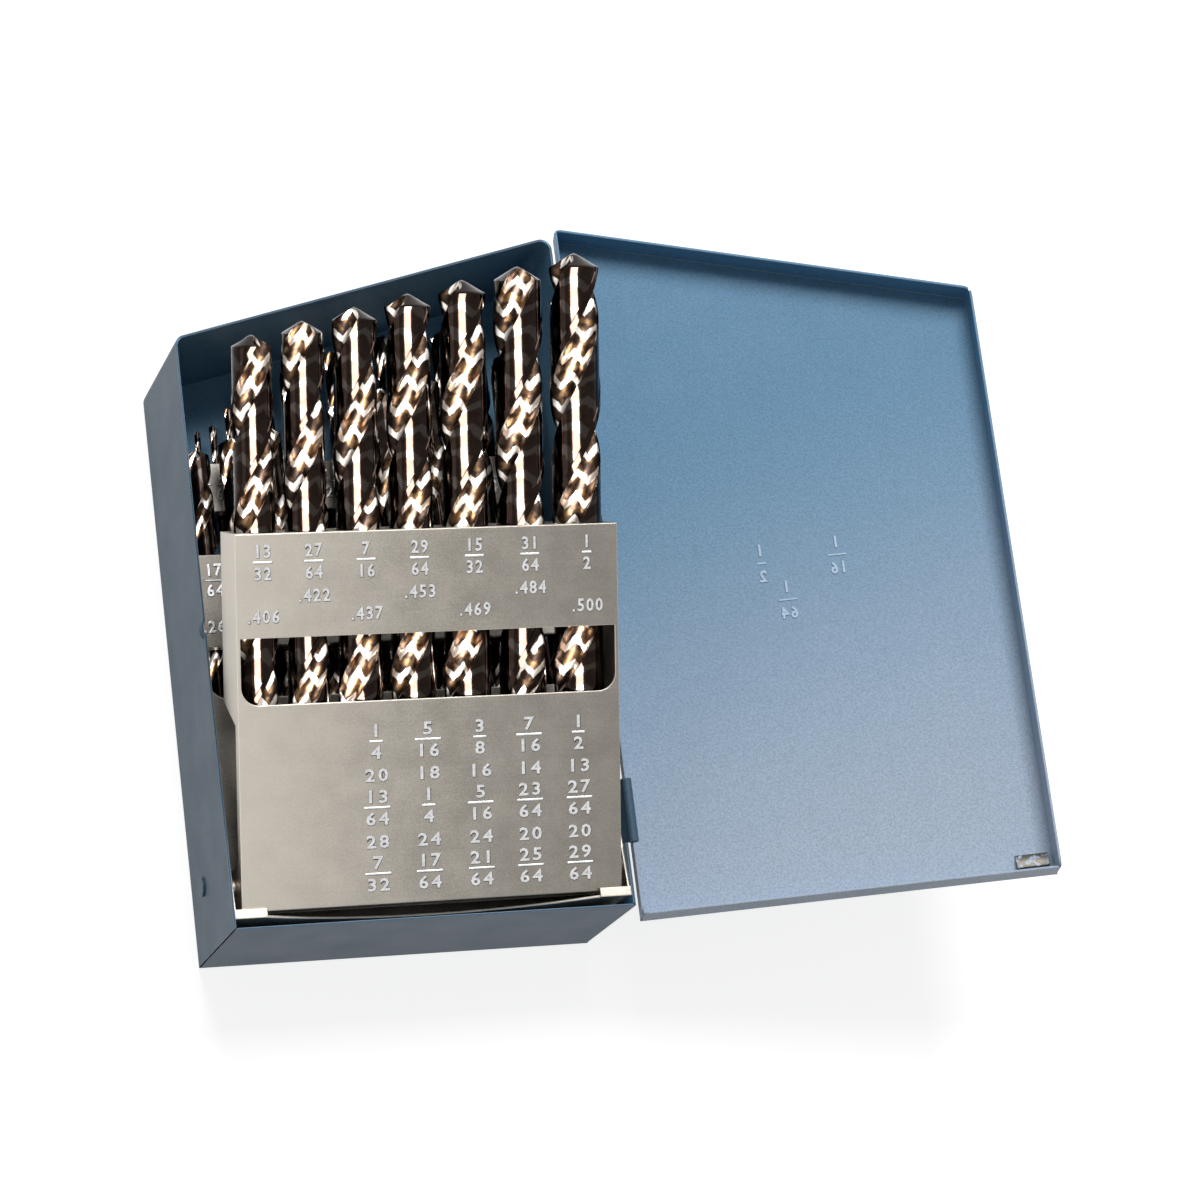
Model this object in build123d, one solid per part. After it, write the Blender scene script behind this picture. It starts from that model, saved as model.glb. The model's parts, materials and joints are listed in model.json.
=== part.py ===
from build123d import *
import os
from dataclasses import dataclass
from math import atan2, cos, degrees, hypot, pi, radians, sqrt, tan

# A sheet-steel drill bit case that lies on its back with the lid swung open.
# All lengths are in millimetres and all angles in degrees.
# The case is built from its lower far corner: x runs across the opening to the hinge,
# y runs along the hinge to the drills' points, and z runs from the back out of the opening.
# Every piece is then shifted so that the origin is the middle of the back's outer face.

INCH = 25.4
SIXTY_FOURTH = INCH / 64
EIGHTH = INCH / 8

# Case body
case_width = 103.2
tall_side = 180.4
short_side = 153.8
case_depth = 44.0
sheet = 0.6
case_corner_radius = 3.0
seam_width = 0.3
back_bend_radius = 0.6

# Lid
lid_height = 8.6
lid_gap = 1.4
latch_gap = 1.15
lid_overlap = 2.85
lid_open_angle = 165.9
lid_corner_gap = 0.4
lid_rim_radius = 2.0

# Hinge: two tabs of the body lean out and curl round the rim of the lid's nearest wall
hinge_reach = 2.3
rim_strip = 1.2
eye_clearance = 0.06
eye_length = 16.4
eye_end_gap = 0.7
eye_inset = 17.0
eye_mouth_angle = 70.0
eye_lean = 3.2
eye_slot = 3.4

# Latch: a dimple at the far wall's edge, and a raised catch in the lid's lower far corner
dimple_height = 1.0
dimple_radius = 2.6
catch_length = 8.5
catch_width = 5.0
catch_rise = 1.6
catch_side_inset = 1.2
catch_end_inset = 1.7

# Cradle that carries the racks
cradle_floor_height = 2.3
cradle_ear_height = 43.0
cradle_ear_lean = 5.4
cradle_back_gap = 2.2
cradle_corner_radius = 5.0
cradle_front_hollow = 9.0
stop_length = 7.6
stop_height = 2.3
stop_clearance = 0.1
wall_rivet_radius = 1.5
wall_rivet_head_radius = 2.5
wall_rivet_head = 0.6
wall_rivet_height = 17.9
wall_rivet_depth = 29.7

# Racks
rack_sheet = 0.6
rack_side_gap = 1.55
rack_width = case_width - 2 * (sheet + rack_sheet + rack_side_gap)
front_pivot_depth = 6.75
rack_corner_radius = 1.2
window_corner_radius = 4.5
window_side = 0.9
flange_strip = 3.0
flange_slant = 5.0
face_gap = 0.5
shelf_margin = 1.2
hole_clearance = 0.25
seat_clearance = 0.15
pivot_height = 12.1
pivot_radius = 1.5
pivot_clearance = 0.06
pivot_head_radius = 2.4
pivot_head = 0.8
pivot_shoulder_radius = 2.0
pivot_end_gap = 0.1
pivot_lobe = 4.5
floor_pivot_clearance = 0.3
rack_foot = 5.1

# Drills
point_angle = 118.0
helix_angle = 30.0
web_share = 0.18
flute_share = 0.62
shank_base = 23.6
shank_growth = 1.15
shank_chamfer_share = 0.08
chisel_share = 0.05
smallest_drill = 4
quarter_inch_drill = 16
# Whole lengths of the sizes below a quarter inch, in eighths of an inch, from the smallest up
short_drill_eighths = (15, 16, 18, 21, 22, 23, 25, 26, 28, 29, 30, 31)
quarter_inch_eighths = 32


@dataclass(frozen=True)
class Rack:
    """One drill rack: its drills in sixty-fourths, and its heights above its own pivot."""
    name: str
    first_size: int
    last_size: int
    end_gap: float
    room_share: float
    tilt: float
    top: float
    strip_height: float
    window_height: float
    seat: float
    seat_drop: float

    @property
    def sizes(self):
        return range(self.first_size, self.last_size + 1)

    @property
    def largest_radius(self):
        return self.last_size * SIXTY_FOURTH / 2

    @property
    def face(self):
        """Distance of the face's front from the drills' axes."""
        return self.largest_radius + face_gap + rack_sheet

    @property
    def depth(self):
        return self.face + self.largest_radius + hole_clearance + shelf_margin

    @property
    def back_reach(self):
        """Distance of the shelves' rear edge from the drills' axes."""
        return self.depth - self.face

    @property
    def pivot_z(self):
        """Height of the pivot above the back: the racks stand one behind another and share
        the depth that they leave free."""
        deep = front_pivot_depth
        for ahead, behind in zip(racks, racks[1:racks.index(self) + 1]):
            deep += ahead.back_reach + ahead.room_share * free_depth() + behind.face
        return case_depth - deep

    @property
    def drill_gap(self):
        """Gap between two drills: what their diameters and the ends leave of the rack's width."""
        room = rack_width - 2 * (rack_sheet + self.end_gap) - sum(self.sizes) * SIXTY_FOURTH
        return room / (len(self.sizes) - 1)

    @property
    def drill_places(self):
        """(size, x from the rack's middle) of each drill, with equal gaps between drills."""
        total = sum(self.sizes) * SIXTY_FOURTH + self.drill_gap * (len(self.sizes) - 1)
        places = []
        edge = -total / 2
        for size in self.sizes:
            diameter = size * SIXTY_FOURTH
            places.append((size, edge + diameter / 2))
            edge += diameter + self.drill_gap
        return places

    def seat_at(self, x):
        """Height of the floor that carries the drills' butts; it may fall towards the hinge."""
        return self.seat - self.seat_drop * (x / rack_width + 0.5)


front_rack = Rack(
    name="front", first_size=26, last_size=32, end_gap=1.067, room_share=0.18575, tilt=20.7,
    top=87.3, strip_height=25.5, window_height=16.4, seat=2.1, seat_drop=0.0)
middle_rack = Rack(
    name="middle", first_size=17, last_size=25, end_gap=0.945, room_share=0.36293, tilt=0.0,
    top=88.6, strip_height=24.3, window_height=13.6, seat=13.9, seat_drop=0.0)
rear_rack = Rack(
    name="rear", first_size=4, last_size=16, end_gap=7.453, room_share=0.45132, tilt=0.0,
    top=118.1, strip_height=13.1, window_height=14.0, seat=83.5, seat_drop=35.0)
racks = (front_rack, middle_rack, rear_rack)


def free_depth():
    """Depth of the case that the racks' own depths leave over."""
    taken = sum(rack.depth for rack in racks) - front_rack.face
    return case_depth - sheet - front_pivot_depth - taken


# Places that several pieces share
middle_x = case_width / 2
top_slope = atan2(tall_side - short_side, case_width)
eye_bore = hypot(sheet, rim_strip) / 2 + eye_clearance
eye_radius = eye_bore + sheet
hinge_x = case_width + hinge_reach
hinge_z = case_depth - lid_overlap + rim_strip / 2
lid_rim_z = hinge_z - rim_strip / 2
lid_top_z = lid_rim_z + lid_height
lid_near_x = hinge_x + sheet / 2
lid_far_x = -latch_gap - sheet
lid_edge = lid_gap + sheet
hinge_axis = Axis((hinge_x, 0, hinge_z), (0, 1, 0))
ear_outer_x = sheet
cradle_floor_y = sheet + cradle_floor_height
low_middle = (Align.CENTER, Align.CENTER, Align.MIN)


def top_height(x):
    """Height of the body's sloping top at a distance x from the far wall."""
    return short_side + x * tan(top_slope)


def trapezoid(far_x, near_x, bottom_y, rise):
    """Face with the case's outline, its sloping top moved up by rise."""
    corners = [
        (far_x, bottom_y),
        (near_x, bottom_y),
        (near_x, top_height(near_x) + rise),
        (far_x, top_height(far_x) + rise)]
    return make_face(Polyline(corners, close=True))


def box_between(low, high):
    """Box from its lowest corner to its highest."""
    size = [b - a for a, b in zip(low, high)]
    return Pos(*low) * Box(*size, align=(Align.MIN, Align.MIN, Align.MIN))


def rod_along_x(radius, start_x, end_x, y, z):
    """Round bar parallel to the racks' pivots."""
    return Pos(start_x, y, z) * Rot(0, 90, 0) * Cylinder(radius, end_x - start_x, align=low_middle)


def eye_bottoms():
    """Lower ends of the two hinge eyes."""
    return (eye_inset, tall_side - eye_inset - eye_length)


def eye_profile():
    """Section of a hinge eye about its axis: a neck that leans out from the wall, and a ring
    with a narrow mouth on its lower side."""
    ring = Circle(eye_radius) - Circle(eye_bore)
    mouth = Rectangle(2 * eye_radius, eye_bore / 2, align=(Align.MIN, Align.CENTER))
    mouth = Rot(0, 0, -eye_mouth_angle) * mouth
    wall_inner = -hinge_reach - sheet
    neck_foot = -eye_radius - eye_lean
    neck = make_face(Polyline([
        (wall_inner, neck_foot),
        (wall_inner + sheet, neck_foot),
        (-eye_bore, -eye_bore / 2),
        (-eye_bore, 0),
        (-eye_radius, 0),
        (wall_inner, neck_foot + sheet)], close=True))
    return ring - mouth + neck - Circle(eye_bore)


def hinge_eyes():
    """The two curled tabs, closed but for a narrow mouth."""
    eyes = []
    for bottom in eye_bottoms():
        plane = Plane(origin=(hinge_x, bottom, hinge_z), x_dir=(1, 0, 0), z_dir=(0, -1, 0))
        eyes.append(extrude(plane * eye_profile(), -eye_length))
    return eyes


def wall_dimple():
    """Dome pressed out of the far wall, cut off level with the wall's front edge."""
    curve = (dimple_radius ** 2 + dimple_height ** 2) / (2 * dimple_height)
    middle = (0, short_side / 2, case_depth - dimple_radius * 0.6)
    ball = Pos(curve - dimple_height, middle[1], middle[2]) * Sphere(curve)
    hollow = Pos(curve - dimple_height, middle[1], middle[2]) * Sphere(curve - sheet)
    outside = box_between(
        (-dimple_height, middle[1] - dimple_radius, middle[2] - dimple_radius),
        (0, middle[1] + dimple_radius, case_depth))
    inside = box_between(
        (0, middle[1] - dimple_radius, middle[2] - dimple_radius),
        (sheet, middle[1] + dimple_radius, case_depth))
    return (ball - hollow) & outside, hollow & inside


def corner_seam(x, y, turn):
    """Thin slit through a lower corner, where the walls meet without a weld."""
    reach = 4 * sheet
    slit = Box(reach, seam_width, case_depth, align=low_middle)
    return Pos(x, y, sheet + back_bend_radius) * Rot(0, 0, turn) * slit


def body_shell():
    """Back and four walls folded from one sheet, with the hinge eyes and the latch dimple."""
    outline = trapezoid(0, case_width, 0, 0)
    top_corners = outline.vertices().sort_by(Axis.Y)[2:]
    outline = fillet(top_corners, case_corner_radius)
    block = extrude(outline, case_depth)
    block = fillet(block.faces().sort_by(Axis.Z)[0].edges(), back_bend_radius)
    room = extrude(offset(outline, -sheet), case_depth - sheet)
    shell = block - Pos(0, 0, sheet) * room
    for x, turn in ((0, 45), (case_width, -45)):
        shell -= corner_seam(x, 0, turn)
    for bottom in eye_bottoms():
        shell -= box_between(
            (case_width - 2 * sheet, bottom - eye_end_gap, hinge_z - eye_radius - eye_lean),
            (case_width + sheet, bottom + eye_length + eye_end_gap, case_depth + sheet))
    for eye in hinge_eyes():
        shell += eye
    dome, dent = wall_dimple()
    shell = shell - dent + dome
    for x in (0, case_width - sheet):
        shell -= rod_along_x(wall_rivet_radius, x - sheet, x + 2 * sheet, wall_rivet_height,
                             case_depth - wall_rivet_depth)
    return shell


def lid_wall(start, end):
    """Upright lid wall on the outline's inside, from start to end, rounded at its free corners."""
    run = Vector(*end) - Vector(*start)
    turn = degrees(atan2(run.Y, run.X))
    length = run.length - 2 * lid_corner_gap
    face = Pos(length / 2, lid_height / 2) * Rectangle(length, lid_height)
    face = fillet(face.vertices().sort_by(Axis.Y)[:2], lid_rim_radius)
    plate = extrude(Plane.XZ * face, -sheet)
    return Pos(*start, lid_rim_z) * Rot(0, 0, turn) * Pos(lid_corner_gap, 0, 0) * plate


def lid_catch():
    """Low half-round catch raised from the lid's inside, cut square at its lower edge."""
    x = lid_far_x + sheet + catch_side_inset + catch_length / 2
    y = -lid_gap + catch_end_inset
    bump = Rot(0, 90, 0) * Cylinder(catch_width, catch_length)
    bump = Pos(x, y, lid_top_z + catch_width - sheet - catch_rise) * bump
    keep = box_between(
        (x - catch_length / 2, y, lid_top_z - sheet - catch_rise),
        (x + catch_length / 2, y + catch_width, lid_top_z - sheet / 2))
    return bump & keep


def closed_lid():
    """Shallow tray over the opening, with slots that leave its rim inside the hinge eyes."""
    outline = trapezoid(lid_far_x, lid_near_x, -lid_edge, lid_edge / cos(top_slope))
    corners = [(v.X, v.Y) for v in outline.vertices()]
    middle = outline.center()
    corners.sort(key=lambda p: atan2(p[1] - middle.Y, p[0] - middle.X))
    tray = Pos(0, 0, lid_top_z - sheet) * extrude(outline, sheet)
    for start, end in zip(corners, corners[1:] + corners[:1]):
        tray += lid_wall(start, end)
    for bottom in eye_bottoms():
        tray -= box_between(
            (lid_near_x - 2 * sheet, bottom - eye_end_gap, lid_rim_z + rim_strip),
            (lid_near_x + sheet, bottom + eye_length + eye_end_gap, lid_rim_z + eye_slot))
    return tray + lid_catch()


def lid_shell():
    """The lid, swung open to its stop."""
    return closed_lid().rotate(hinge_axis, lid_open_angle)


def stop_inner_z():
    """Inside of the cradle's stops: just in front of the path of the front rack's lower corner."""
    reach = hypot(rack_foot, front_rack.face)
    drop = pivot_height - cradle_floor_y - stop_height
    return front_rack.pivot_z + sqrt(reach ** 2 - drop ** 2) + stop_clearance


def ear_profile():
    """Side of the cradle: its front edge leans back towards the top, and the top is round."""
    front = stop_inner_z()
    back = sheet + cradle_back_gap
    corners = [
        (cradle_floor_y, back),
        (cradle_floor_y, front),
        (cradle_floor_y + cradle_ear_height, front - cradle_ear_lean),
        (cradle_floor_y + cradle_ear_height, back)]
    profile = make_face(Polyline(corners, close=True))
    return fillet(profile.vertices().sort_by(Axis.X)[2:], cradle_corner_radius)


def rack_cradle():
    """Bracket of one bent sheet: floor, two ears, and two stops for the front rack's foot."""
    ear = extrude(Plane.YZ * ear_profile(), rack_sheet)
    far_ear = Pos(ear_outer_x, 0, 0) * ear
    near_ear = Pos(case_width - ear_outer_x - rack_sheet, 0, 0) * ear
    back = sheet + cradle_back_gap
    front = stop_inner_z()
    floor = box_between(
        (ear_outer_x, cradle_floor_y, back),
        (case_width - ear_outer_x, cradle_floor_y + rack_sheet, front))
    half_gap = middle_x - ear_outer_x - rack_sheet - stop_length
    hollow_radius = (half_gap ** 2 + cradle_front_hollow ** 2) / (2 * cradle_front_hollow)
    scoop = Pos(middle_x, 0, front + hollow_radius - cradle_front_hollow)
    scoop *= Rot(90, 0, 0) * Cylinder(hollow_radius, case_depth)
    slot_low = (ear_outer_x + rack_sheet + stop_length, 0, back)
    slot_high = (case_width - ear_outer_x - rack_sheet - stop_length, case_depth, case_depth)
    cradle = floor - (scoop & box_between(slot_low, slot_high)) + far_ear + near_ear
    for x in (ear_outer_x, case_width - ear_outer_x - rack_sheet - stop_length):
        cradle += box_between(
            (x, cradle_floor_y, front),
            (x + stop_length + rack_sheet, cradle_floor_y + stop_height, front + rack_sheet))
    for x in (ear_outer_x, case_width - ear_outer_x - rack_sheet):
        for rack in racks:
            cradle -= rod_along_x(pivot_radius, x, x + rack_sheet, pivot_height, rack.pivot_z)
        cradle -= rod_along_x(wall_rivet_radius, x, x + rack_sheet, wall_rivet_height,
                              case_depth - wall_rivet_depth)
    return cradle


def wall_rivets():
    """Rivets that hold the cradle's ears to the side walls."""
    z = case_depth - wall_rivet_depth
    far = rod_along_x(wall_rivet_radius, 0, sheet + rack_sheet, wall_rivet_height, z)
    far += rod_along_x(wall_rivet_head_radius, -wall_rivet_head, 0, wall_rivet_height, z)
    near = mirror(far, Plane.YZ.offset(middle_x))
    return Compound(children=[far, near])


def rack_half():
    return rack_width / 2


def in_rack_place(rack, shape):
    """From the rack's own frame (x across, y up from the pivot, z to the front) to the case."""
    return Pos(middle_x, pivot_height, rack.pivot_z) * Rot(rack.tilt, 0, 0) * shape


def rack_flange(rack):
    """Side of a rack: deep beside the strip and window, then slanting in to a narrow strip
    that widens to a round lobe at the pivot."""
    front = rack.face
    back = rack.face - rack.depth
    window_bottom = rack.top - rack.strip_height - rack.window_height
    corners = [
        (rack.top, front),
        (rack.top, back),
        (window_bottom, back),
        (window_bottom - flange_slant, front - flange_strip),
        (pivot_lobe + flange_strip, front - flange_strip),
        (pivot_lobe, 0),
        (-rack_foot, 0),
        (-rack_foot, front)]
    plate = make_face(Polyline(corners, close=True)) + Circle(pivot_lobe)
    plate &= Pos(rack.top / 2 - rack_foot / 2, 0) * Rectangle(rack.top + rack_foot, 4 * rack.depth)
    plate -= Circle(pivot_radius + pivot_clearance)
    return extrude(Plane.YZ * plate, rack_sheet)


def rack_face(rack):
    """Folded front sheet of a rack: face with its window, two flanges and the top shelf."""
    height = rack.top + rack_foot
    face = Pos(0, rack.top - height / 2) * Rectangle(rack_width, height)
    strip_bottom = rack.top - rack.strip_height
    window = Pos(0, strip_bottom - rack.window_height / 2)
    window *= Rectangle(rack_width - 2 * window_side, rack.window_height)
    window = fillet(window.vertices().sort_by(Axis.Y)[:2], window_corner_radius)
    sheet_metal = Pos(0, 0, rack.face - rack_sheet) * extrude(face - window, rack_sheet)
    flange = rack_flange(rack)
    sheet_metal += Pos(-rack_half(), 0, 0) * flange
    sheet_metal += Pos(rack_half() - rack_sheet, 0, 0) * flange
    sheet_metal += rack_shelf(rack, rack.top - rack_sheet)
    return in_rack_place(rack, sheet_metal)


def rack_shelf(rack, height):
    """Flat shelf across a rack at a height, with a hole for every drill."""
    inner = rack_width - 2 * rack_sheet
    low = (-inner / 2, height, rack.face - rack.depth)
    high = (inner / 2, height + rack_sheet, rack.face - rack_sheet)
    shelf = box_between(low, high)
    for size, x in rack.drill_places:
        hole = Cylinder(size * SIXTY_FOURTH / 2 + hole_clearance, 4 * rack_sheet)
        shelf -= Pos(x, height, 0) * Rot(90, 0, 0) * hole
    return shelf


def rack_guide(rack):
    """Second holed shelf, which steadies the drills at the lower edge of the number strip."""
    return in_rack_place(rack, rack_shelf(rack, rack.top - rack.strip_height))


def rack_floor(rack):
    """Floor between the flanges that carries the drills' butts; it slopes where seat_drop is set."""
    inner = rack_width - 2 * rack_sheet
    corners = [
        (-inner / 2, rack.seat_at(-inner / 2)),
        (inner / 2, rack.seat_at(inner / 2)),
        (inner / 2, rack.seat_at(inner / 2) - rack_sheet),
        (-inner / 2, rack.seat_at(-inner / 2) - rack_sheet)]
    plate = extrude(make_face(Polyline(corners, close=True)), rack.depth - rack_sheet)
    plate = Pos(0, 0, rack.face - rack.depth) * plate
    notch = pivot_end_gap + pivot_head + floor_pivot_clearance
    for start in (-inner / 2, inner / 2 - notch):
        plate -= rod_along_x(pivot_head_radius + floor_pivot_clearance, start, start + notch, 0, 0)
    return in_rack_place(rack, plate)


def rack_pins(rack):
    """Two shoulder rivets, fixed in the cradle's ears, on which a rack turns."""
    ear_inner_x = ear_outer_x + rack_sheet
    flange_outer_x = middle_x - rack_half()
    flange_inner_x = flange_outer_x + rack_sheet
    y, z = pivot_height, rack.pivot_z
    head_x = flange_inner_x + pivot_end_gap
    pin = rod_along_x(pivot_radius, ear_outer_x, head_x + pivot_head, y, z)
    pin += rod_along_x(pivot_shoulder_radius, ear_inner_x, flange_outer_x - pivot_end_gap, y, z)
    pin += rod_along_x(pivot_head_radius, head_x, head_x + pivot_head, y, z)
    return Compound(children=[pin, mirror(pin, Plane.YZ.offset(middle_x))])


def drill_length(size):
    """Whole length of a jobber drill whose size is given in sixty-fourths of an inch."""
    if size < quarter_inch_drill:
        return short_drill_eighths[size - smallest_drill] * EIGHTH
    return (quarter_inch_eighths + size - quarter_inch_drill) * EIGHTH


def flute_length(size):
    """Length of the spiral part: the plain shank grows slowly with the diameter."""
    return drill_length(size) - shank_base - shank_growth * size * SIXTY_FOURTH


def point_height(size):
    radius = size * SIXTY_FOURTH / 2
    return radius * (1 - chisel_share) / tan(radians(point_angle / 2))


def flute_lead(size):
    """Length in which a drill's flutes make one whole turn."""
    return pi * size * SIXTY_FOURTH / tan(radians(helix_angle))


def drill_spiral(size):
    """Fluted part of a drill along +Z: a disc with two round flutes, twisted at a fixed angle."""
    radius = size * SIXTY_FOURTH / 2
    length = flute_length(size)
    profile = Circle(radius)
    for side in (-1, 1):
        profile -= Pos(side * (web_share + flute_share) * radius, 0) * Circle(flute_share * radius)
    twist = Helix(pitch=flute_lead(size), height=length, radius=radius)
    return sweep(profile, Line((0, 0, 0), (0, 0, length)), binormal=twist)


def point_grinder(size):
    """Everything outside the cone of a drill's point, turned so that its seam lies in a flute."""
    radius = size * SIXTY_FOURTH / 2
    tip = point_height(size)
    chisel = radius * chisel_share
    cone = Pos(0, 0, -tip) * Cone(2 * radius - chisel, chisel, 2 * tip, align=low_middle)
    grinder = Pos(0, 0, -tip / 2) * Cylinder(2 * radius, 2 * tip, align=low_middle) - cone
    turns = (flute_length(size) - tip / 2) / flute_lead(size)
    return Rot(0, 0, 360 * turns) * grinder


def drill_bit(size):
    """Twist drill along +Z from its butt: plain shank, two spiral flutes and a conical point."""
    radius = size * SIXTY_FOURTH / 2
    length = drill_length(size)
    shank_length = length - flute_length(size)
    shank = Cylinder(radius, shank_length, align=low_middle)
    shank = chamfer(shank.edges().sort_by(Axis.Z)[0], 2 * radius * shank_chamfer_share)
    spiral = Pos(0, 0, shank_length) * drill_spiral(size)
    spiral -= Pos(0, 0, length - point_height(size)) * point_grinder(size)
    return shank + spiral


def seat_height(rack, size, x):
    """Height at which a drill's butt rests, clear of the floor along its own width."""
    slope = rack.seat_drop / rack_width
    radius = size * SIXTY_FOURTH / 2
    return rack.seat_at(x) + slope * radius + seat_clearance


def placed_drill(rack, size, x):
    """A drill standing in its holes with its butt on the rack's floor."""
    upright = Rot(-90, 0, 0) * drill_bit(size)
    return in_rack_place(rack, Pos(x, seat_height(rack, size, x), 0) * upright)


def fraction_name(size):
    """Size in sixty-fourths as a reduced fraction, such as 13_32."""
    numerator, denominator = size, 64
    while numerator % 2 == 0:
        numerator //= 2
        denominator //= 2
    return f"{numerator}_{denominator}"


def all_nodes():
    """Every node of the case with its solid, by name."""
    nodes = {
        "body_shell": body_shell(),
        "lid_shell": lid_shell(),
        "rack_cradle": rack_cradle(),
        "wall_rivets": wall_rivets()}
    for rack in racks:
        nodes[f"{rack.name}_rack_face"] = rack_face(rack)
        nodes[f"{rack.name}_rack_guide"] = rack_guide(rack)
        nodes[f"{rack.name}_rack_floor"] = rack_floor(rack)
        nodes[f"{rack.name}_rack_pins"] = rack_pins(rack)
        for size, x in rack.drill_places:
            nodes[f"drill_{fraction_name(size)}"] = placed_drill(rack, size, x)
    return nodes


def write_parts():
    """Writes one STEP file per node, with the origin at the middle of the back."""
    os.makedirs("parts", exist_ok=True)
    to_origin = Pos(-middle_x, -tall_side / 2, 0)
    for name, shape in all_nodes().items():
        export_step(to_origin * shape, f"parts/{name}.step")


if __name__ == "__main__":
    write_parts()
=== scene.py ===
"""Dresses a sheet-steel drill bit case: hammered enamel, plated racks, twist drills and stamped numbers."""

import json
from dataclasses import dataclass
from math import atan2, cos, pi, radians, sin, tan

import bpy
import numpy as np
from bpy.props import FloatProperty, FloatVectorProperty, PointerProperty
from mathutils import Euler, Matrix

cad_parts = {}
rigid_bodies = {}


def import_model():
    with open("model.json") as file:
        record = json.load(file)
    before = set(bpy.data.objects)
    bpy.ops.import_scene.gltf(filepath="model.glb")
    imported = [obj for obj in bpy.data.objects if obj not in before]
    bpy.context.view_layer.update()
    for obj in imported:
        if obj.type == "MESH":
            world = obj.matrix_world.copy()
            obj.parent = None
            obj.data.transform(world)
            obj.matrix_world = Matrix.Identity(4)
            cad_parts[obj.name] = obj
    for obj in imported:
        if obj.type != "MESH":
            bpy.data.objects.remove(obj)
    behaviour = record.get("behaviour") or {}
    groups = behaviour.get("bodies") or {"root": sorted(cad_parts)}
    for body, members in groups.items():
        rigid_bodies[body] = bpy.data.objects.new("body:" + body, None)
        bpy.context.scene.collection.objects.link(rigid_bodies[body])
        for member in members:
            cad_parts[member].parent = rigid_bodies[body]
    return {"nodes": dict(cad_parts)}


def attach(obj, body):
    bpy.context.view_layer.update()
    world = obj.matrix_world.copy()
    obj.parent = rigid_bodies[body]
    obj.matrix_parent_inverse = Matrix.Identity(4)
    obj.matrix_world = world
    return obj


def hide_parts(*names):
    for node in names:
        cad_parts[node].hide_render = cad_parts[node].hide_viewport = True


bl_info = {
    "name": "Drill Bit Case",
    "version": (1, 0, 0),
    "blender": (4, 5, 0),
    "location": "View3D > Sidebar > Drill Case",
    "description": "Enamel, plated racks, twist drills and stamped numbers for a sheet-steel drill bit case",
    "category": "Object",
}

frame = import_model()

# Lengths are in millimetres up to the moment that a mesh is made
MM = 0.001
SIXTY_FOURTH = 25.4 / 64
EIGHTH = 25.4 / 8
CASE_WIDTH = 103.2
TALL_SIDE = 180.4
SHORT_SIDE = 153.8
CASE_MIDDLE = np.array([CASE_WIDTH / 2, TALL_SIDE / 2, 0.0])
PIVOT_HEIGHT = 12.1
RACK_WIDTH = 97.7
SEAT_CLEARANCE = 0.15

# Twist drills, as shares of their radius unless they are named otherwise
SMALLEST_DRILL = 4
QUARTER_INCH = 16
SHORT_DRILL_EIGHTHS = (15, 16, 18, 21, 22, 23, 25, 26, 28, 29, 30, 31)
SHANK_BASE = 23.6
SHANK_GROWTH = 1.15
POINT_HALF_ANGLE = radians(59.0)
HELIX_ANGLE = radians(30.0)
WEB = 0.18
FLUTE_RADIUS = 0.62
CHISEL = 0.05
SHANK_CHAMFER = 0.16
CLEARED_LAND = 0.965
WASHED_OUT_DEPTH = 0.97

# How far each drill happens to be turned in its hole, in degrees; the rest go by their size
FRONT_DRILL_SPINS = {26: 60.0, 27: 14.0, 28: 167.0, 29: 145.0, 30: 149.0, 31: 43.0, 32: 155.0}
SPIN_PER_SIZE = 47.0

# Painted reflections in the flutes: the part of half a turn that is flute, and the spacing of their zigzag
# bands in millimetres
FLUTE_SPAN = (0.41, 0.98)
STRIPE_PITCH = 6.0

# Points along one land and one flute of a drill's section, and turn from ring to ring
LAND_STEPS = np.array([0.0, 0.1, 0.2, 0.3, 0.4, 0.5, 0.6, 0.7, 0.78, 0.84, 0.86, 0.93, 1.0])
MARGIN_START = 0.85
FLUTE_POINTS = 19
RING_TURN = radians(8.0)
FEWEST_RINGS = 12
CONE_RINGS = 10
TIP_REACH = 1.06
SHANK_STEP = 0.05
FLUTE_DEPTH_GAIN = 2.2
SHARP_EDGE = radians(34.0)

# The lid's inner face: a point on it at the hinge, the way across it and the way out of it; then the
# catch's two corners, each as (distance across, height)
LID_FACE_START = np.array([107.3, 0.0, 34.57])
LID_ACROSS = np.array([0.9699, 0.0, 0.2436])
LID_OUT = np.array([-LID_ACROSS[2], 0.0, LID_ACROSS[0]])
LID_CATCH = ((95.6, -1.0), (105.4, 6.4))

# The case's outer walls: outward direction and distance from the middle; and how deep the painted shade on
# their outer skin goes
TOP_SLOPE = atan2(TALL_SIDE - SHORT_SIDE, CASE_WIDTH)
TOP_WALL_OUT = (-sin(TOP_SLOPE), cos(TOP_SLOPE), 0.0)
OUTER_WALLS = (
    ((0.0, -1.0, 0.0), TALL_SIDE / 2),
    (TOP_WALL_OUT, TALL_SIDE / 2 * cos(TOP_SLOPE) - CASE_WIDTH / 2 * sin(TOP_SLOPE)))
OUTER_SHADE_DEPTH = (0.62, 0.52)


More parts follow.
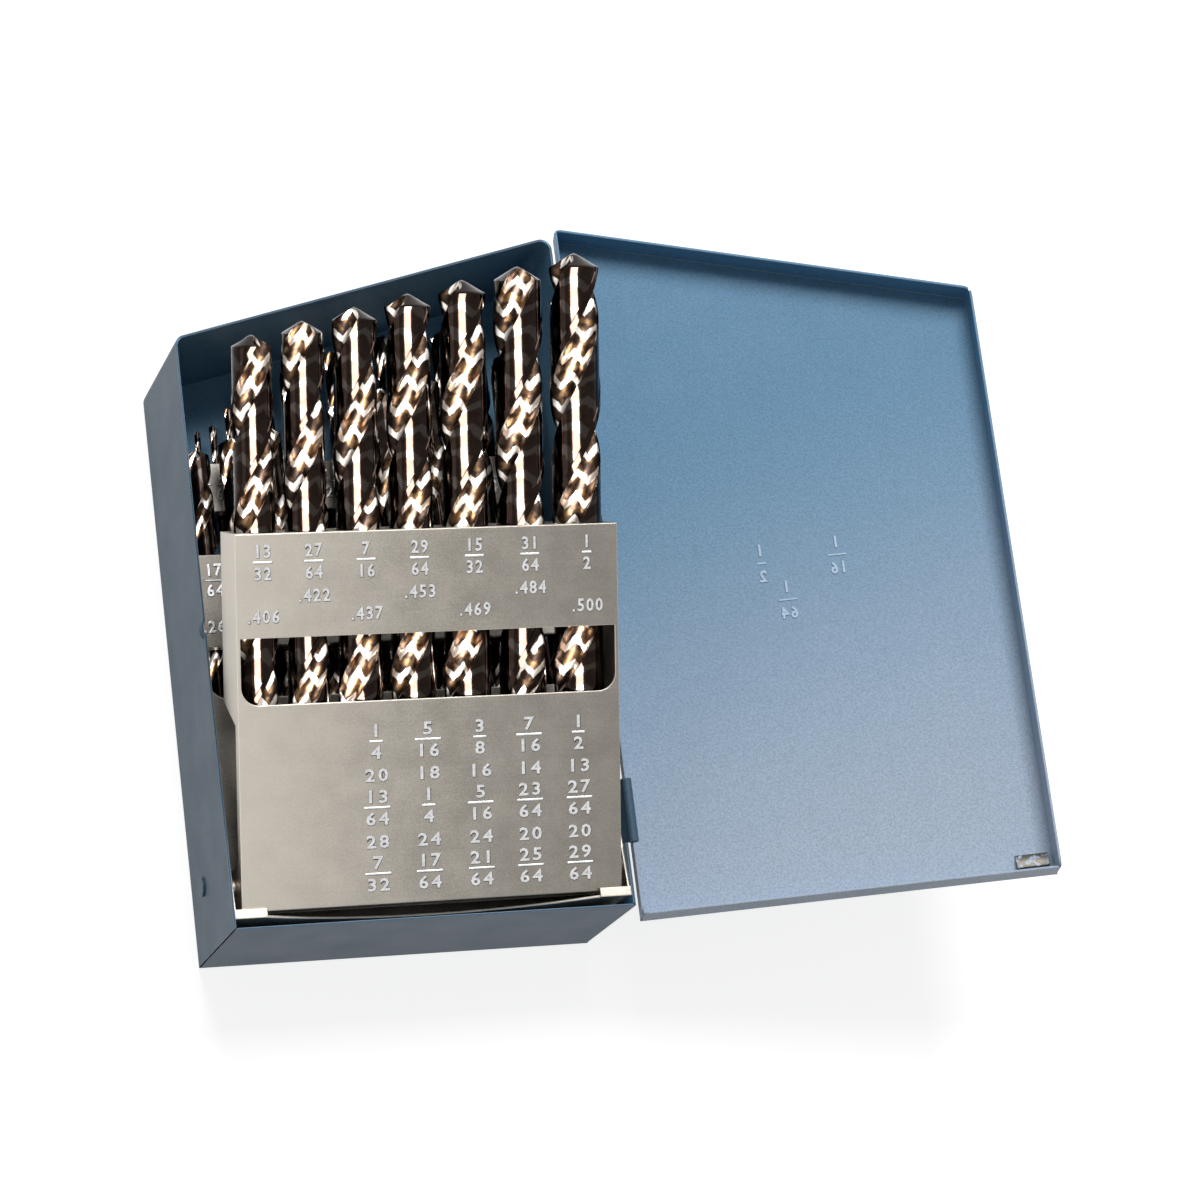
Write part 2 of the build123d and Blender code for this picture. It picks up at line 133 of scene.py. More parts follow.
@dataclass(frozen=True)
class Rack:
    """One drill rack; its lengths are measured from the pivot, in the rack's own upright frame."""
    name: str
    sizes: range
    drill_gap: float
    pivot_z: float
    tilt: float
    seat: float
    seat_drop: float
    numerator_height: float
    decimal_heights: tuple

    @property
    def face(self):
        """Distance of the face's front from the drills' axes."""
        return (self.sizes[-1] * SIXTY_FOURTH) / 2 + 1.1

    @property
    def drill_places(self):
        """(size in sixty-fourths, x) of each drill, with equal gaps between drills."""
        widths = np.array(self.sizes) * SIXTY_FOURTH
        starts = np.concatenate([[0.0], np.cumsum(widths + self.drill_gap)[:-1]])
        centres = starts + widths / 2
        whole = widths.sum() + self.drill_gap * (len(widths) - 1)
        return list(zip(self.sizes, centres - whole / 2))

    def seat_height(self, size, x):
        """Height of a drill's butt on the rack's floor, which may fall towards the hinge."""
        slope = self.seat_drop / RACK_WIDTH
        floor = self.seat - slope * (x + RACK_WIDTH / 2)
        return floor + slope * size * SIXTY_FOURTH / 2 + SEAT_CLEARANCE

    def to_case(self, points):
        """Points of the rack's frame (x across, y up the face, z out of it) in the case's frame, in metres."""
        x, y, z = np.moveaxis(points, -1, 0)
        lean = radians(self.tilt)
        placed = np.stack([
            x + CASE_MIDDLE[0],
            PIVOT_HEIGHT + y * cos(lean) - z * sin(lean),
            self.pivot_z + y * sin(lean) + z * cos(lean)], axis=-1)
        return (placed - CASE_MIDDLE) * MM


FRONT_RACK = Rack("front", range(26, 33), 2.3, 37.25, 20.7, 2.1, 0.0, 83.0, (67.05, 71.95))
MIDDLE_RACK = Rack("middle", range(17, 26), 2.45, 22.0, 0.0, 13.9, 0.0, 84.6, (69.6, 73.6))
REAR_RACK = Rack("rear", range(4, 17), 2.5, 8.6, 0.0, 83.5, 35.0, 115.2, (107.2, 107.2))
RACKS = (FRONT_RACK, MIDDLE_RACK, REAR_RACK)

# Stamped table on the front rack's panel: columns across, and rows of (height, entries)
TABLE_COLUMNS = (-14.3, -1.1, 12.3, 25.1, 38.0)
TABLE_ROWS = (
    (35.3, ("1/4", "5/16", "3/8", "7/16", "1/2")),
    (26.95, ("20", "18", "16", "14", "13")),
    (18.9, ("13/64", "1/4", "5/16", "23/64", "27/64")),
    (10.45, ("28", "24", "24", "20", "20")),
    (2.5, ("7/32", "17/64", "21/64", "25/64", "29/64")))

# Stamped digits: (width of one, gap between two), and how far a fraction's two numbers stand off its bar
STRIP_DIGITS = (1.95, 0.45)
TABLE_DIGITS = (2.55, 0.75)
FRACTION_SPREAD = 2.72
LID_FRACTION_SPREAD = 3.5
POINT_WIDTH = 0.45
BAR_THICKNESS = 0.5
FULL_WIDTH_PITCH = 6.4
HALF_ROUNDS_DOWN = 1e-6

# Numbers pressed into the lid: (distance across, height, entry)
LID_NUMBERS = ((62.9, 88.5, "1/16"), (42.9, 88.2, "1/2"), (48.5, 77.8, "1/64"))

# Camera: place in metres, turn in degrees, and lens and sensor in millimetres
CAMERA_PLACE = (-0.27143, -0.28956, 0.99803)
CAMERA_TURN = (17.7595, -16.6460, -7.3788)
CAMERA_LENS = 122.34
CAMERA_SENSOR = 36.0
CAMERA_NEAREST = 0.01

# Lamps, in metres and watts: name, place, aim, (width, height), power, tint
LAMPS = (
    ("window", (0.12, 0.80, 1.35), (0.0, 0.0, 0.0), (0.8, 0.8), 23.0, (1.0, 1.0, 1.0)),
    ("side_fill", (-1.30, -0.15, 0.50), (0.0, 0.0, 0.0), (0.5, 0.5), 1.2, (1.0, 1.0, 1.0)),
)
DRILL_SCREEN = (
    "drill_screen", (-0.360, -0.431, 1.289), (0.0, 0.02, 0.07), (0.80, 1.0), 270.0, (1.0, 0.98, 0.96))

# Surroundings: levels of light, and half the floor's side in metres
WORLD_STRENGTH = 0.22
FLOOR_TONE = 0.40
FLOOR_GLOW = 0.82
FLOOR_HALF = 3.0
WHITE = (1.0, 1.0, 1.0, 1.0)


def fraction_of(size):
    """A size in sixty-fourths as its numerator and denominator in lowest terms."""
    numerator, denominator = size, 64
    while numerator % 2 == 0:
        numerator //= 2
        denominator //= 2
    return numerator, denominator


# --- Settings -----------------------------------------------------------------------------------


def colour(name, description, default):
    """Colour setting of a finish."""
    return FloatVectorProperty(
        name=name, description=description, default=default, subtype="COLOR", min=0.0, max=1.0)


class CaseFinishes(bpy.types.PropertyGroup):
    """Colours of the case's paints and metals."""
    enamel: colour("Enamel", "Hammered enamel of the case", (0.115, 0.260, 0.400))
    # Painted shade: the outer walls' enamel is a darker copy of the same paint
    enamel_outside: colour("Outer enamel", "Enamel of the outer walls", (0.050, 0.094, 0.142))
    # Painted highlight along edges and folds, together with thin enamel there
    enamel_worn: colour("Thin enamel", "Enamel where it thins on a fold or an edge", (0.42, 0.55, 0.68))
    lid_high: colour("Lid, upper part", "Enamel at the top of the lid", (0.094, 0.222, 0.355))
    # Painted sheen: paler enamel where the lid's inner face catches the light
    lid_low: colour("Lid, lower part", "Enamel of the lid where it catches the light", (0.360, 0.435, 0.540))
    bare_catch: colour("Bare catch", "Steel where the catch is rubbed bare", (0.120, 0.110, 0.097))
    plate: colour("Plated sheet", "Plated steel of the racks", (0.330, 0.305, 0.268))
    # Painted highlight: a lighter plate for the lit left side and for folds and edges
    plate_light: colour("Bright plate", "Plated steel where it is rubbed bright", (0.62, 0.57, 0.50))
    # Painted highlight: the light crest of a stamped number
    stamped: colour("Stamped number", "Crest of a stamped number", (0.74, 0.74, 0.75))
    # Painted shadow round a stamped number
    stamped_foot: colour("Number's foot", "Dark foot round a stamped number", (0.10, 0.095, 0.09))
    oxide: colour("Oxide", "Black oxide on a drill's lands", (0.019, 0.0125, 0.0100))
    # Painted reflection: bright zigzag bands in a drill's flutes
    ground: colour("Ground", "Bright marks of the flute grinding", (0.62, 0.58, 0.54))
    straw: colour("Straw", "Straw temper colour in a drill's flutes", (0.105, 0.060, 0.030))


class CaseSizes(bpy.types.PropertyGroup):
    """Sizes of the stamped numbers."""
    digit_height: FloatProperty(
        name="Digit height", description="Height of a stamped digit", default=3.3 * MM, min=0.5 * MM,
        unit="LENGTH", precision=5)
    digit_rise: FloatProperty(
        name="Digit rise", description="How far a stamped digit stands proud", default=0.16 * MM,
        min=0.02 * MM, unit="LENGTH", precision=5)
    edge_radius: FloatProperty(
        name="Edge radius", description="Radius that light finds on a sheet's edge", default=0.35 * MM,
        min=0.0, unit="LENGTH", precision=5)


# --- Shader expressions ---------------------------------------------------------------------------


class Value:
    """A shader socket in an expression: arithmetic on it adds Math nodes to its material."""

    def __init__(self, graph, socket):
        self.graph = graph
        self.socket = socket

    def math(self, operation, *others):
        inputs = dict(enumerate((self,) + others))
        return self.graph.node("ShaderNodeMath", {"operation": operation}, inputs)

    def reflected(self, operation, first):
        return self.graph.node("ShaderNodeMath", {"operation": operation}, {0: first, 1: self})

    def __add__(self, other):
        return self.math("ADD", other)

    def __sub__(self, other):
        return self.math("SUBTRACT", other)

    def __mul__(self, other):
        return self.math("MULTIPLY", other)

    def __truediv__(self, other):
        return self.math("DIVIDE", other)

    def __radd__(self, other):
        return self.reflected("ADD", other)

    def __rsub__(self, other):
        return self.reflected("SUBTRACT", other)

    def __rmul__(self, other):
        return self.reflected("MULTIPLY", other)

    def ramp(self, start, end):
        """0 below start and 1 above end, turning smoothly between them."""
        return self.graph.node(
            "ShaderNodeMapRange", {"interpolation_type": "SMOOTHSTEP"},
            {"Value": self, "From Min": start, "From Max": end})

    def within(self, low, high, soft):
        """1 between two values, falling to 0 over a soft edge outside them."""
        return self.ramp(low - soft, low) * (1 - self.ramp(high, high + soft))


class Graph:
    """The nodes of one material or world. node() is the one way in which a node is made."""

    def __init__(self, owner):
        self.owner = owner
        self.owner.use_nodes = True
        self.tree = owner.node_tree
        self.tree.nodes.clear()

    def node(self, kind, settings=None, inputs=None, output=0):
        """A new node, with its settings made before its inputs, and one of its outputs as a Value."""
        node = self.tree.nodes.new(kind)
        for key, setting in (settings or {}).items():
            setattr(node, key, setting)
        for key, value in (inputs or {}).items():
            if isinstance(value, Value):
                self.tree.links.new(value.socket, node.inputs[key])
            else:
                node.inputs[key].default_value = value
        return Value(self, node.outputs[output]) if node.outputs else None

    def place(self):
        """Coordinates of the piece, in metres."""
        return self.node("ShaderNodeTexCoord", output="Object")

    def axis(self, vector, direction):
        """Distance of a place along a direction, in millimetres."""
        return self.node(
            "ShaderNodeVectorMath", {"operation": "DOT_PRODUCT"},
            {0: vector, 1: tuple(float(part) / MM for part in direction)}, output="Value")

    def noise(self, vector, size, detail=2.0, roughness=0.5):
        """Noise about 0.5 whose grains are about size millimetres across."""
        return self.node(
            "ShaderNodeTexNoise", None,
            {"Vector": vector, "Scale": 1 / (size * MM), "Detail": detail, "Roughness": roughness})

    def mix(self, share, first, second):
        """Colour that goes from the first to the second as the share goes from 0 to 1."""
        return self.node(
            "ShaderNodeMix", {"data_type": "RGBA", "clamp_factor": True},
            {"Factor": share, 6: self.rgba(first), 7: self.rgba(second)}, output=2)

    @staticmethod
    def rgba(value):
        """A colour as four numbers, or a socket as it is."""
        return value if isinstance(value, Value) else tuple(value)[:3] + (1.0,)

    def eased_edge(self, radius):
        """Surface normal that turns over a sheet's edge, and how near that edge is, from 0 to 1."""
        rounded = self.node("ShaderNodeBevel", {"samples": 6}, {"Radius": radius})
        flat = self.node("ShaderNodeNewGeometry", output="Normal")
        turned = self.node(
            "ShaderNodeVectorMath", {"operation": "DOT_PRODUCT"}, {0: rounded, 1: flat}, output="Value")
        return rounded, (1 - turned).ramp(0.01, 0.22)

    def bump(self, height, depth, strength=1.0, normal=None):
        """Normal of a relief whose full height is depth millimetres."""
        inputs = {"Height": height, "Distance": depth * MM, "Strength": strength}
        if normal is not None:
            inputs["Normal"] = normal
        return self.node("ShaderNodeBump", None, inputs)

    def finish(self, **inputs):
        """Ends the material in one Principled surface."""
        sockets = {name.replace("_", " "): value for name, value in inputs.items()}
        sockets["Base Color"] = self.rgba(sockets["Base Color"])
        surface = self.node("ShaderNodeBsdfPrincipled", None, sockets)
        self.node("ShaderNodeOutputMaterial", None, {"Surface": surface})
        return self.owner

    def looked_at(self):
        """1 on rays from the camera, off a glossy surface or through a clear one, and 0 on the rest."""
        camera, glossy, through = (
            self.node("ShaderNodeLightPath", output=f"Is {kind} Ray")
            for kind in ("Camera", "Glossy", "Transmission"))
        return camera.math("MAXIMUM", glossy).math("MAXIMUM", through)


def new_material(name):
    """Empty node graph of a new material."""
    return Graph(bpy.data.materials.new(name))


def toned(tone, factor):
    """A colour made lighter or darker, and no more than white."""
    return tuple(min(1.0, factor * part) for part in tone)


def hammered_enamel(name, finishes, sizes, lid=False):
    """Blue-grey hammered enamel: fine rounded dimples, a soft mottle, painted shade on the outer walls, and
    pale paint on the edges as thin enamel and painted highlight; on the lid, a painted sheen that grows paler
    towards the bottom.
    """
    graph = new_material(name)
    place = graph.place()
    dimples = graph.noise(place, 0.55, detail=1.0)
    grain = graph.noise(place, 0.26, detail=2.0)
    mottle = graph.noise(place, 11.0, detail=3.0)
    shade = (dimples * 0.55 + grain * 0.45).ramp(0.30, 0.70)

    def hammered(tone):
        return graph.mix(shade, toned(tone, 0.84), toned(tone, 1.17))

    if lid:
        # Painted sheen: the lid's inner face goes paler towards the bottom
        paint = graph.mix(
            lid_sweep(graph, place, mottle), hammered(finishes.lid_high), hammered(finishes.lid_low))
    else:
        # Painted shade on the outer walls: a darker copy of the enamel
        paint = graph.mix(
            outside_walls(graph, place), hammered(finishes.enamel), hammered(finishes.enamel_outside))
    rounded, edge = graph.eased_edge(sizes.edge_radius)
    # Pale edges: thin enamel and a painted highlight where light finds a sheet's edge
    paint = graph.mix(edge * 0.8, paint, finishes.enamel_worn)
    relief = graph.bump(dimples * 0.7 + grain * 0.3, 0.10, strength=0.55, normal=rounded)
    inputs = {"Roughness": 0.40 + mottle * 0.14, "Normal": relief, "Specular_IOR_Level": 0.22}
    if lid:
        rubbed = worn_catch(graph, place)
        paint = graph.mix(rubbed, paint, finishes.bare_catch)
        inputs["Metallic"] = rubbed * 0.9
    return graph.finish(Base_Color=paint, **inputs)


def outside_walls(graph, place):
    """1 on the outer skin of the case's four walls, where the enamel is painted darker as shade, and 0 inside
    them.
    """
    deep, shallow = OUTER_SHADE_DEPTH
    side = graph.axis(place, (1.0, 0.0, 0.0)).math("ABSOLUTE")
    skin = side.ramp(CASE_WIDTH / 2 - deep, CASE_WIDTH / 2 - shallow)
    for direction, reach in OUTER_WALLS:
        skin = skin.math("MAXIMUM", graph.axis(place, direction).ramp(reach - deep, reach - shallow))
    return skin


def above_panel(graph, place):
    """Height above the lid's inner face, in millimetres."""
    return graph.axis(place, LID_OUT) - lid_origin(LID_OUT)


def lid_sweep(graph, place, mottle):
    """How far the lid's inner face is painted towards its sheen, as painted light, from 0 at the top to 1 at
    the bottom; its outside has one tone.
    """
    inside = above_panel(graph, place).ramp(-0.5, -0.3)
    downward = graph.axis(place, (0.0, -1.0, 0.0)) * 0.0062 + graph.axis(place, (1.0, 0.0, 0.0)) * 0.0012
    return (downward + mottle * 0.12 + 0.16).ramp(0.0, 1.0) * inside + (1 - inside) * 0.25


def worn_catch(graph, place):
    """1 where the paint has rubbed off the lid's raised catch, in patches."""
    across = graph.axis(place, LID_ACROSS) - lid_origin(LID_ACROSS)
    height = graph.axis(place, (0.0, 1.0, 0.0)) + CASE_MIDDLE[1]
    out = above_panel(graph, place)
    (far_low, low), (far_high, high) = LID_CATCH
    catch = across.within(far_low, far_high, 0.3) * height.within(low, high, 0.3) * out.within(-0.4, 2.4, 0.2)
    return catch * out.ramp(0.02, 0.10) * graph.noise(place, 1.6, detail=3.0).ramp(0.34, 0.50)


def lid_origin(direction):
    """Distance of the lid face's starting point along a direction of the case's frame, in millimetres."""
    return float(np.dot(LID_FACE_START - CASE_MIDDLE, direction))


def plated_sheet(name, finishes, sizes, shade=1.0, painted_light_on_left=0.0):
    """Plain plated sheet: a fine grain with faint rolling lines, and folds and edges painted bright as rubbed
    wear and painted highlight. shade makes a lit or shaded copy of the plate, and painted_light_on_left paints
    light on its left and shade on its right.
    """
    graph = new_material(name)
    place = graph.place()
    grain = graph.noise(place, 0.38, detail=3.0, roughness=0.65)
    cloud = graph.noise(place, 7.0, detail=3.0)
    lines = graph.noise(
        graph.node("ShaderNodeMapping", None, {"Vector": place, "Scale": (0.05, 1.0, 1.0)}), 0.5, detail=2.0)
    tone = grain * 0.62 + lines * 0.1 + cloud * 0.28
    # shade makes a lit or shaded copy of the same plate, as painted light or painted shade
    metal = graph.mix(
        tone.ramp(0.34, 0.66), toned(finishes.plate, 0.80 * shade), toned(finishes.plate, 1.22 * shade))
    if painted_light_on_left:
        # Painted light towards the left of the face and painted shade towards its right
        across = graph.axis(place, (1.0, 0.0, 0.0))
        metal = graph.mix((1 - across.ramp(-66.0, 10.0)) * painted_light_on_left, metal, finishes.plate_light)
        metal = graph.mix(across.ramp(-20.0, 62.0) * 0.6, metal, toned(finishes.plate, 0.45))
    rounded, edge = graph.eased_edge(sizes.edge_radius * 1.4)
    # Painted highlight and rubbed wear along folds and edges
    metal = graph.mix(edge * 0.8, metal, toned(finishes.plate_light, 1.35))
    relief = graph.bump(grain * 0.7 + lines * 0.3, 0.02, strength=0.45, normal=rounded)
    return graph.finish(
        Base_Color=metal, Metallic=1.0, Roughness=0.36 + cloud * 0.14, Normal=relief)


def oxide_steel(name, finishes):
    """Glossy black oxide on the lands, straw in the flutes, and painted reflections in the flutes.

    The painted reflections are zigzag bands across a flute: a band's height goes up and down twice over its
    width."""
    graph = new_material(name)
    flute = graph.node("ShaderNodeAttribute", {"attribute_name": "flute"}, output="Fac")
    turns = graph.node("ShaderNodeUVMap", {"uv_map": "turns"})
    lines = graph.noise(
        graph.node("ShaderNodeMapping", None, {"Vector": turns, "Scale": (1.0, 0.02, 1.0)}), 18.0, detail=3.0)
    cloud = graph.noise(graph.place(), 2.6, detail=2.0)
    land = graph.mix(cloud.ramp(0.3, 0.7), toned(finishes.oxide, 0.7), finishes.oxide)
    hollow = graph.mix(cloud.ramp(0.42, 0.62), finishes.oxide, finishes.straw)
    metal = graph.mix((flute * (cloud * 0.5 + 0.35)).ramp(0.1, 0.75), land, hollow)
    in_flute = flute.ramp(0.05, 0.3)
    flute_start, flute_end = FLUTE_SPAN
    across = graph.axis(turns, (2.0 * MM, 0.0, 0.0)).math("FRACT")
    zigzag = ((across - flute_start) / (flute_end - flute_start)).math("PINGPONG", 0.25)
    bands = graph.axis(turns, (0.0, 1.0, 0.0)) / STRIPE_PITCH + zigzag * 1.7 + cloud * 0.35
    # Painted reflection of the lamp as zigzag bands in the flutes
    metal = graph.mix(bands.math("PINGPONG", 0.5).ramp(0.30, 0.38) * in_flute, metal, finishes.ground)
    return graph.finish(
        Base_Color=metal, Metallic=1.0, Roughness=0.06 + lines * 0.07 + in_flute * 0.20,
        Normal=graph.bump(lines, 0.010, strength=0.3))


def stamped_crest(name, tone, roughness):
    """Metal of a stamped number in one tone, painted light as a crest's highlight or painted dark as its
    shadow, with tiny rubbed patches.
    """
    graph = new_material(name)
    patches = graph.noise(graph.place(), 0.7, detail=2.0)
    metal = graph.mix(patches.ramp(0.35, 0.65), toned(tone, 0.80), tone)
    return graph.finish(
        Base_Color=metal, Metallic=1.0, Roughness=roughness + patches * 0.1,
        Normal=graph.bump(patches, 0.02, strength=0.4))


def stamped_lid(finishes, name, shade):
    """Enamel over a pressed number; shade makes it lighter as a painted highlight or darker as a painted
    shadow.
    """
    graph = new_material(name)
    grain = graph.noise(graph.place(), 0.5, detail=2.0)
    tone = tuple(shade * (high + low) / 2 for high, low in zip(finishes.lid_high, finishes.lid_low))
    paint = graph.mix(grain.ramp(0.3, 0.7), tuple(0.8 * part for part in tone), tone)
    return graph.finish(
        Base_Color=paint, Roughness=0.34 + grain * 0.1, Normal=graph.bump(grain, 0.03, strength=0.5))


def coat(node_name, material):
    """Gives a node of the frame its material."""
    slots = frame["nodes"][node_name].data.materials
    slots.clear()
    slots.append(material)


# --- Meshes ---------------------------------------------------------------------------------------


def add_piece(name, points, faces, material, body):
    """A mesh object of the given points (in metres) and faces, which moves with a body of the frame."""
    mesh = bpy.data.meshes.new(name)
    mesh.from_pydata(np.asarray(points, float).reshape(-1, 3).tolist(), [], faces)
    if mesh.validate():
        raise RuntimeError(f"{name} has faces that aren't valid")
    mesh.materials.append(material)
    piece = bpy.data.objects.new(name, mesh)
    bpy.context.scene.collection.objects.link(piece)
    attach(piece, body)
    return piece


def ring_faces(rings, points):
    """Quads between successive closed rings of points, then a fan to the first and to the last vertex."""
    ring, point = np.meshgrid(np.arange(rings - 1), np.arange(points), indexing="ij")
    following = (point + 1) % points
    low, high = ring * points, (ring + 1) * points
    quads = np.stack([low + point, low + following, high + following, high + point], -1).reshape(-1, 4)
    step = np.arange(points)
    after = (step + 1) % points
    butt, tip = rings * points, rings * points + 1
    last = (rings - 1) * points
    fans = [[butt, b, a] for a, b in zip(step.tolist(), after.tolist())]
    fans += [[tip, last + a, last + b] for a, b in zip(step.tolist(), after.tolist())]
    return quads.tolist() + fans


def drill_rings(size):
    """Rings of a drill from its butt to its point: their heights, reaches and flute centres, in millimetres.

    The reach is the cone of the point or the drill's radius, whichever is less, and the flute centre
    comes in from outside the drill over the washout, by 3t^2 - 2t^3. The height at which the shank ends
    and the length of one turn of a flute follow."""
    radius = size * SIXTY_FOURTH / 2
    length = drill_length(size)
    shank = SHANK_BASE + SHANK_GROWTH * 2 * radius
    point = length - radius * (1 - CHISEL) / tan(POINT_HALF_ANGLE)
    lead = flute_lead(size)
    turns = max(FEWEST_RINGS, int((point - shank) / lead * 2 * pi / RING_TURN))
    spiral = np.linspace(shank, point, turns)
    cone_reach = np.linspace(radius, TIP_REACH * WEB * radius, CONE_RINGS + 1)[1:]
    cone = length - (cone_reach - CHISEL * radius) / tan(POINT_HALF_ANGLE)
    heights = np.concatenate([[0.0, SHANK_CHAMFER * radius, shank - SHANK_STEP], spiral, cone])
    reach = np.minimum(radius, CHISEL * radius + (length - heights) * tan(POINT_HALF_ANGLE))
    reach[0] = radius * (1 - SHANK_CHAMFER)
    opened = np.clip((heights - shank) / (2 * radius), 0, 1)
    opened = opened * opened * (3 - 2 * opened)
    centre = (WASHED_OUT_DEPTH + (WEB - WASHED_OUT_DEPTH) * opened + FLUTE_RADIUS) * radius
    return heights, reach, centre, shank, lead


def drill_length(size):
    """Whole length of a jobber drill whose size is given in sixty-fourths of an inch."""
    if size < QUARTER_INCH:
        return SHORT_DRILL_EIGHTHS[size - SMALLEST_DRILL] * EIGHTH
    return (2 * QUARTER_INCH + size - QUARTER_INCH) * EIGHTH


def flute_lead(size):
    """Length in which a drill's flutes make one whole turn."""
    return pi * size * SIXTY_FOURTH / tan(HELIX_ANGLE)


def drill_surface(size):
    """Points of a twist drill along +Z, its share of flute at each point, and a map of its turns.

    A ring is a land, a flute, a land and a flute. A land is an arc about the axis, from the angle where
    the flute's circle leaves the reach, arccos((q^2 + c^2 - f^2) / 2qc), to its mirror. A flute is an
    arc about its own centre, c from the axis, as far round as arccos((c^2 + f^2 - q^2) / 2cf) on each
    side. Only a narrow margin at the leading edge has the full reach q. Each ring is turned by
    2 pi z / lead and by the drill's own spin."""
    heights, reach, centre, shank, lead = drill_rings(size)
    radius = size * SIXTY_FOURTH / 2
    flute = FLUTE_RADIUS * radius
    heel = np.minimum(reach, CLEARED_LAND * radius)

    def leaving(q):
        return np.arccos(np.clip((q**2 + centre**2 - flute**2) / (2 * q * centre), -1, 1))

    def reached(q):
        return np.arccos(np.clip((centre**2 + flute**2 - q**2) / (2 * centre * flute), -1, 1))

    start, end = leaving(heel), pi - leaving(reach)
    angle = start[:, None] + (end - start)[:, None] * LAND_STEPS
    out = np.where(LAND_STEPS > MARGIN_START, reach[:, None], heel[:, None])
    land = np.stack([out * np.cos(angle), out * np.sin(angle)], -1)
    share = np.linspace(0, 1, FLUTE_POINTS + 2)[1:-1]
    bend = reached(reach)[:, None] * (1 - share) - reached(heel)[:, None] * share
    hollow = np.stack([flute * np.cos(bend) - centre[:, None], flute * np.sin(bend)], -1)
    half = np.concatenate([land, hollow], 1)
    section = np.concatenate([half, -half], 1)
    plain = heights <= shank
    spread = np.linalg.norm(section, axis=-1, keepdims=True)
    section = np.where(plain[:, None, None], section / spread * reach[:, None, None], section)
    turn = 2 * pi * np.maximum(heights - shank, 0) / lead
    turn = turn + radians(FRONT_DRILL_SPINS.get(size, SPIN_PER_SIZE * size % 180))
    x = section[..., 0] * np.cos(turn)[:, None] - section[..., 1] * np.sin(turn)[:, None]
    y = section[..., 0] * np.sin(turn)[:, None] + section[..., 1] * np.cos(turn)[:, None]
    z = np.broadcast_to(heights[:, None], x.shape)
    depth = np.clip((1 - spread[..., 0] / reach[:, None]) * FLUTE_DEPTH_GAIN, 0, 1) * ~plain[:, None]
    across = np.broadcast_to(np.linspace(0, 1, x.shape[1]), x.shape)
    tip = np.array([0.0, 0.0, drill_length(size)])
    points = np.concatenate([np.stack([x, y, z], -1).reshape(-1, 3), np.zeros((1, 3)), tip[None]])
    fluted = np.concatenate([depth.ravel(), [0.0, 0.0]])
    turns = np.concatenate([np.stack([across, z * MM], -1).reshape(-1, 2), np.zeros((2, 2))])
    return points, fluted, turns, x.shape


def make_drill(rack, size, x, material):
    """One twist drill, standing in its holes with its butt on the rack's floor."""
    points, fluted, turns, (rings, around) = drill_surface(size)
    upright = np.stack([points[:, 0] + x, points[:, 2] + rack.seat_height(size, x), -points[:, 1]], -1)
    numerator, denominator = fraction_of(size)
    node = f"drill_{numerator}_{denominator}"
    piece = add_piece(
        f"twist_drill_{numerator}_{denominator}", rack.to_case(upright), ring_faces(rings, around),
        material, node)
    mesh = piece.data
    mesh.attributes.new("flute", "FLOAT", "POINT").data.foreach_set("value", fluted.astype(np.float32))
    corners = np.zeros(len(mesh.loops), np.int32)
    mesh.loops.foreach_get("vertex_index", corners)
    layer = mesh.uv_layers.new(name="turns")
    layer.data.foreach_set("uv", turns[corners].astype(np.float32).ravel())
    mesh.polygons.foreach_set("use_smooth", np.ones(len(mesh.polygons), bool))
    mesh.set_sharp_from_angle(angle=SHARP_EDGE)
    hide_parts(node)
    return piece


def glyph(text, swell):
    """Outline of one digit or point as a solid, one unit tall for a digit, centred across and standing on 0.

    The face of a font curve is thickened and its edge rounded; swell widens the stroke."""
    curve = bpy.data.curves.new("digit", "FONT")
    curve.body = text
    curve.align_x = "CENTER"
    curve.resolution_u = 2
    curve.extrude = 0.02
    curve.bevel_depth = 0.018
    curve.bevel_resolution = 1
    curve.offset = swell
    outline = bpy.data.objects.new("digit", curve)
    bpy.context.scene.collection.objects.link(outline)
    shape = bpy.data.meshes.new_from_object(outline.evaluated_get(bpy.context.evaluated_depsgraph_get()))
    points = np.zeros(len(shape.vertices) * 3)
    shape.vertices.foreach_get("co", points)
    faces = [tuple(face.vertices) for face in shape.polygons]
    bpy.data.meshes.remove(shape)
    bpy.data.objects.remove(outline)
    bpy.data.curves.remove(curve)
    return points.reshape(-1, 3), faces


